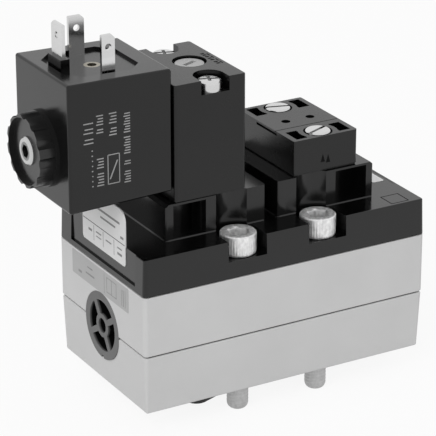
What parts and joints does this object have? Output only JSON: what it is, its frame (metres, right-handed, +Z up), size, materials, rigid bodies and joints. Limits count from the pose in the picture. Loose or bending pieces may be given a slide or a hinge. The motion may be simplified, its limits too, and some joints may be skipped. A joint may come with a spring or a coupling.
{
  "type": "directional control valve",
  "caption": "Base-mounted pneumatic spool valve with one solenoid pilot, plug contacts, a manual override and a blanking plate.",
  "frame": {"origin": "centre of the mounting face on the underside, in the middle of the four screws", "axes": "+X along the spool, away from the coil; +Y towards the back; +Z up, away from the mounting face"},
  "size_m": [0.1098, 0.049, 0.1122],
  "materials": {
    "casting": "matte die-cast",
    "cover_plastic": "glossy moulded",
    "pilot_plastic": "satin moulded",
    "coil_plastic": "glossy moulded",
    "nut_plastic": "satin moulded",
    "cap_plastic": "matte moulded",
    "override_plastic": "satin",
    "bobbin_plastic": "matte",
    "plated_steel": "bright zinc plated",
    "core_steel": "turned bright",
    "frame_steel": "plated sheet",
    "spring_steel": "bright wire",
    "tinned_contact": "bright tin plate",
    "turned_aluminium": "turned",
    "brass_insert": "turned",
    "copper_wire": "enamelled wire",
    "rubber_black": "matte",
    "gasket": "matte sheet"
  },
  "bodies": {
    "valve": {"lower_housing": "casting", "upper_housing": "casting", "housing_gasket": "gasket", "port_seal": "rubber_black", "cover": "cover_plastic", "cover_gasket": "gasket", "end_cap_left": "cap_plastic", "end_cap_right": "cap_plastic", "end_cap_seals": "rubber_black", "mounting_screws": "plated_steel", "spool_sleeve": "turned_aluminium", "sleeve_seals": "rubber_black", "return_spring": "spring_steel", "pilot_gasket": "gasket", "blanking_gasket": "gasket", "blanking_plate": "pilot_plastic", "blanking_screws": "plated_steel", "pilot_body": "pilot_plastic", "pilot_screws": "plated_steel", "armature_tube": "core_steel", "tube_seal": "rubber_black", "fixed_core": "core_steel", "armature_spring": "spring_steel", "magnet_frame": "frame_steel", "coil_bobbin": "bobbin_plastic", "coil_winding": "copper_wire", "coil_housing": "coil_plastic", "power_blades": "tinned_contact", "earth_blade": "tinned_contact", "plug_insert": "brass_insert", "coil_face_seal": "rubber_black", "retaining_nut": "nut_plastic", "nut_seal": "rubber_black"},
    "spool_set": {"spool": "turned_aluminium", "spool_seals": "rubber_black", "pilot_piston": "cap_plastic", "piston_seal": "rubber_black"},
    "armature_set": {"armature": "core_steel", "armature_seal": "rubber_black"},
    "override": {"manual_override": "override_plastic", "override_seal": "rubber_black"}
  },
  "joints": [
    {"name": "spool_slide", "type": "slide", "parent": "valve", "child": "spool_set", "axis": [1, 0, 0], "range_m": [0, 0.004], "stiffness_N_per_m": 1500, "springref_m": -0.008, "deforming": ["return_spring"]},
    {"name": "armature_slide", "type": "slide", "parent": "valve", "child": "armature_set", "axis": [-1, 0, 0], "range_m": [0, 0.001], "stiffness_N_per_m": 600, "springref_m": -0.005, "deforming": ["armature_spring"]},
    {"name": "override_turn", "type": "hinge", "parent": "valve", "child": "override", "pos_m": [-0.0165, 0, 0.0878], "axis": [0, 0, 1], "range_deg": [0, 90]}
  ]
}
